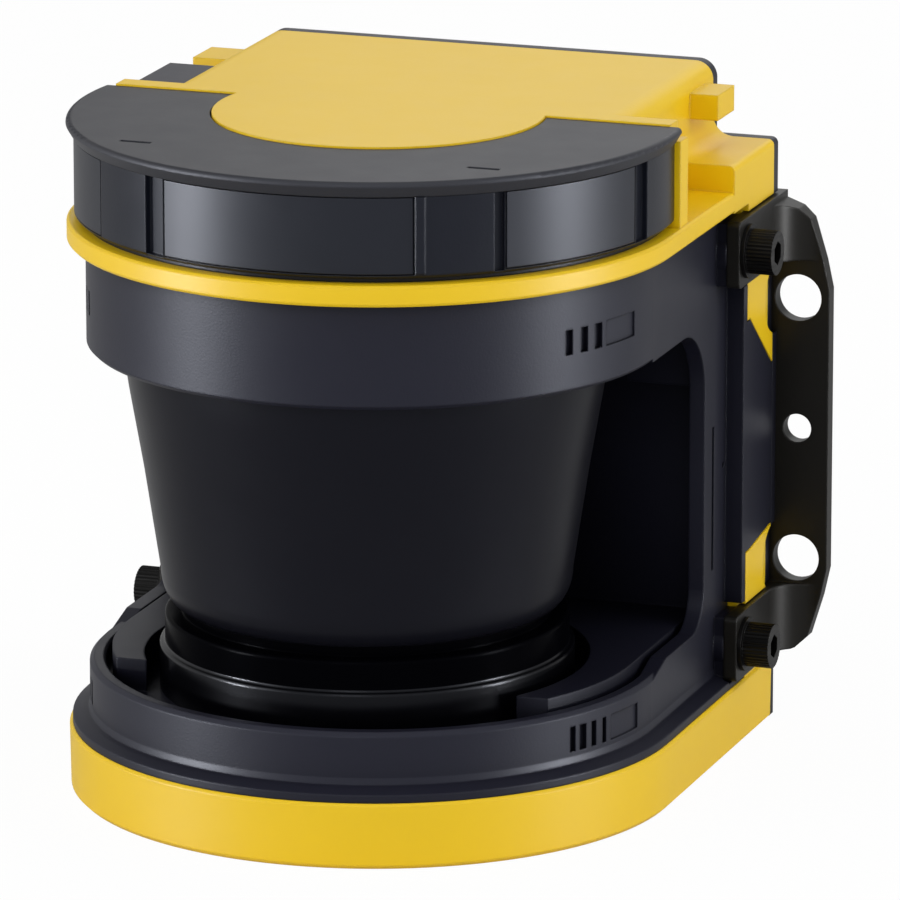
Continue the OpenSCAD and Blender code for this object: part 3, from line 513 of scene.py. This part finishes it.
def makeArmScrews(s):
    low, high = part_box("bracket_screws")
    slack = 0.05 * mm
    seat = high.x - s["Head Height"] - slack    # under the head
    middle = (low + high) / 2
    reach = (high.z - low.z) / 2 - s["Washer Radius"] - 2 * slack
    places = {"Seat": seat, "Reach": reach, "Along": middle.y, "Centre": middle.z}
    g = NodeTree("armScrews", {**s, **places, "Material": blackOxide})
    i = g.given
    sides = g.math("MULTIPLY", i["Knurls"], 2)
    head = g.add("GeometryNodeMeshCylinder", Vertices=sides, Radius=i["Head Radius"], Depth=i["Head Height"])
    odd = g.math("MODULO", g.add("GeometryNodeInputIndex"), 2)
    narrow = g.math("SUBTRACT", 1, g.math("MULTIPLY", odd, i["Knurl Depth"]))
    knurled = g.scaled(g.add("GeometryNodeInputPosition"), narrow)
    head = g.add("GeometryNodeSetPosition", Geometry=head, Position=knurled)
    depth = g.math("MULTIPLY", i["Socket Depth"], 2)
    socket = g.add("GeometryNodeMeshCylinder", Vertices=6, Radius=i["Socket Radius"], Depth=depth)
    half = g.math("MULTIPLY", i["Head Height"], 0.5)
    socket = g.moved(socket, half)
    cut = g.tree.nodes.new("GeometryNodeMeshBoolean")
    cut.operation = "DIFFERENCE"
    g.tree.links.new(head, cut.inputs["Mesh 1"])
    g.tree.links.new(socket, cut.inputs["Mesh 2"])
    head = g.moved(cut.outputs[0], half)
    washer = g.add("GeometryNodeMeshCylinder", Vertices=i["Washer Sides"],
        Radius=i["Washer Radius"], Depth=i["Washer Height"])
    washer = g.moved(washer, g.math("MULTIPLY", i["Washer Height"], -0.5))
    core = g.math("SUBTRACT", i["Thread Radius"], g.math("MULTIPLY", i["Thread Pitch"], 0.5))
    shank = g.add("GeometryNodeMeshCylinder", Vertices=i["Shank Sides"], Radius=core, Depth=i["Shank"])
    shank = g.moved(shank, g.math("MULTIPLY", i["Shank"], -0.5))
    turns = g.math("SUBTRACT", g.math("DIVIDE", i["Shank"], i["Thread Pitch"]), 2)
    climb = g.math("MULTIPLY", turns, i["Thread Pitch"])
    coil = g.add("GeometryNodeCurveSpiral", Resolution=i["Thread Steps"], Rotations=turns,
        Start_Radius=core, End_Radius=core, Height=climb)
    crest = g.math("MULTIPLY", i["Thread Pitch"], i["Crest"])
    ridge = g.add("GeometryNodeCurvePrimitiveCircle", Resolution=4, Radius=crest)
    thread = g.add("GeometryNodeCurveToMesh", Curve=coil, Profile_Curve=ridge, Fill_Caps=True)
    start = g.math("MULTIPLY", i["Shank"], i["Thread Start"])
    thread = g.moved(thread, g.math("MULTIPLY", start, -1))
    screw = g.join(head, washer, shank, thread)
    wide, tall = g.math("MULTIPLY", i["Seat"], 2), g.math("MULTIPLY", i["Reach"], 2)
    points = g.add("GeometryNodeMeshGrid", Size_X=wide, Size_Y=tall, Vertices_X=2, Vertices_Y=2)
    points = g.add("GeometryNodeTransform", Geometry=points, Rotation=(math.pi / 2, 0, 0),
        Translation=(0.0, i["Along"], i["Centre"]))
    side = g.add("ShaderNodeSeparateXYZ", Vector=g.add("GeometryNodeInputPosition"))
    outward = g.add("FunctionNodeAlignRotationToVector", {"axis": "Z"}, Vector=(side, 0.0, 0.0))
    g.finish(g.add("GeometryNodeInstanceOnPoints", Points=points, Instance=screw, Rotation=outward), False)
    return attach(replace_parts(grow("armScrews", g), "bracket_screws"), "housing")


makeArmScrews(armScrews)
print("screws made")

filletSteps = 10


def turnedRing(g, corners, roundings, pathRadius, axis, turns):
    chosen = g.tree.nodes.new("GeometryNodeIndexSwitch")
    chosen.data_type = "VECTOR"
    while len(chosen.index_switch_items) < len(corners):
        chosen.index_switch_items.new()
    g.plug(chosen.inputs["Index"], g.add("GeometryNodeInputIndex"))
    for k, (radius, height) in enumerate(corners):
        across = g.math("SUBTRACT", radius, pathRadius)
        g.plug(chosen.inputs[k + 1], (across, g.math("MULTIPLY", height, -1), 0.0))
    line = g.add("GeometryNodeMeshLine", Count=len(corners))
    line = g.add("GeometryNodeSetPosition", Geometry=line, Position=chosen.outputs[0])
    line = g.add("GeometryNodeMeshToCurve", Mesh=line)
    profile = g.add("GeometryNodeSetSplineCyclic", Geometry=line, Cyclic=True)
    index = g.add("GeometryNodeInputIndex")
    rounding = 0.0
    for numbers, size in roundings:
        picked = 0.0
        for n in numbers:
            test = g.math("COMPARE", index, float(n))
            test.node.inputs[2].default_value = 0.5
            picked = g.math("ADD", picked, test)
        rounding = g.math("ADD", rounding, g.math("MULTIPLY", picked, size))
    fillet = g.tree.nodes.new("GeometryNodeFilletCurve")
    if hasattr(fillet, "mode"):
        fillet.mode = "POLY"
    g.plug(fillet.inputs["Curve"], profile)
    g.plug(fillet.inputs["Count"], filletSteps)
    g.plug(fillet.inputs["Radius"], rounding)
    fillet.inputs["Limit Radius"].default_value = True
    path = g.add("GeometryNodeCurvePrimitiveCircle", Resolution=turns, Radius=pathRadius)
    path = g.add("GeometryNodeSetCurveNormal", {"mode": "Z_UP"}, Curve=path)
    ring = g.add("GeometryNodeCurveToMesh", Curve=path, Profile_Curve=fillet.outputs[0])
    ring = g.add("GeometryNodeFlipFaces", Mesh=ring)    # the heights are turned round too
    g.finish(g.add("GeometryNodeTransform", Geometry=ring, Translation=(0.0, axis, 0.0)), True)


coneWindow = {
    "Top Radius": 44.6 * mm,
    "Waist Radius": 40.8 * mm,    # the side is a little convex
    "Low Radius": 37.9 * mm,
    "Bowl Width": 3.7 * mm,
    "Bowl Height": 6.4 * mm,
    "Foot Inner": 31.7 * mm,
    "Wall": 2.2 * mm,
    "Bend": 90 * mm,
    "Rim Rounding": 0.3 * mm,
    "Skirt": 1.05 * mm,           # below the foot, covers the seal
    "Waist Height": 24.5 * mm,
    "Straight Rim": 18.8 * mm,    # down from the upper seal
    "Inner Bend": 7 * mm,
    "Turns": 256,
}


def makeConeWindow(s):
    low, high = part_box("scan_window")
    places = {"Foot": low.z, "Rim": high.z, "Seal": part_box("upper_seal")[0].z, "Axis": (low.y + high.y) / 2}
    g = NodeTree("coneWindow", {**s, **places, "Material": windowMoulding})
    i = g.given
    skirt = g.math("SUBTRACT", i["Foot"], i["Skirt"])
    waist = g.math("ADD", i["Foot"], i["Waist Height"])
    hood = g.math("SUBTRACT", i["Seal"], i["Straight Rim"])
    inner = lambda name: g.math("SUBTRACT", i[name], i["Wall"])
    lifted = g.math("ADD", i["Foot"], i["Wall"])
    bowl = []
    for degrees in range(90, -1, -10):    # a quarter of an oval
        across = g.math("MULTIPLY", i["Bowl Width"], 1 - math.cos(math.radians(degrees)))
        up = g.math("MULTIPLY", i["Bowl Height"], 1 - math.sin(math.radians(degrees)))
        bowl.append((g.math("SUBTRACT", i["Low Radius"], across), g.math("ADD", skirt, up)))
    lip = bowl[0][0]
    corners = [
        (i["Foot Inner"], i["Foot"]), (lip, i["Foot"]), *bowl, (i["Waist Radius"], waist),
        (i["Top Radius"], hood), (i["Top Radius"], i["Rim"]),
        (inner("Top Radius"), i["Rim"]), (inner("Top Radius"), hood), (inner("Waist Radius"), waist),
        (inner("Low Radius"), g.math("ADD", lifted, i["Inner Bend"])), (inner("Low Radius"), lifted),
        (i["Foot Inner"], lifted),
    ]
    first = 2 + len(bowl)    # the corner at the waist
    roundings = [
        ((first, first + 1, first + 4, first + 5, first + 6), i["Bend"]),
        ((first + 2, first + 3), i["Rim Rounding"]),
        ((first + 7,), i["Bowl Width"]),
    ]
    turnedRing(g, corners, roundings, i["Low Radius"], i["Axis"], i["Turns"])
    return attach(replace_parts(grow("coneWindow", g), "scan_window"), "housing")


makeConeWindow(coneWindow)

collarRing = {
    "Foot Radius": 38.2 * mm,
    "Sleeve Radius": 37.2 * mm,
    "Neck Radius": 34 * mm,
    "Inner Radius": 31 * mm,
    "Foot Height": 8.4 * mm,
    "Sleeve Height": 14.2 * mm,
    "Rounding": 0.6 * mm,
    "Turns": 192,
}


def makeCollarRing(s):
    low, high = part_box("collar_ring")
    places = {"Foot": low.z, "Neck": high.z, "Axis": (low.y + high.y) / 2}
    g = NodeTree("collarRing", {**s, **places, "Material": innerMoulding})
    i = g.given
    step = g.math("ADD", i["Foot"], i["Foot Height"])
    top = g.math("ADD", i["Foot"], i["Sleeve Height"])
    corners = [
        (i["Inner Radius"], i["Foot"]), (i["Foot Radius"], i["Foot"]), (i["Foot Radius"], step),
        (i["Sleeve Radius"], step), (i["Sleeve Radius"], top), (i["Neck Radius"], top),
        (i["Neck Radius"], i["Neck"]), (i["Inner Radius"], i["Neck"]),
    ]
    turnedRing(g, corners, [((2, 3, 4), i["Rounding"])], i["Neck Radius"], i["Axis"], i["Turns"])
    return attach(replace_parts(grow("collarRing", g), "collar_ring"), "housing")


makeCollarRing(collarRing)
print("window and collar made")

bpy.context.scene.view_settings.view_transform = "Standard"
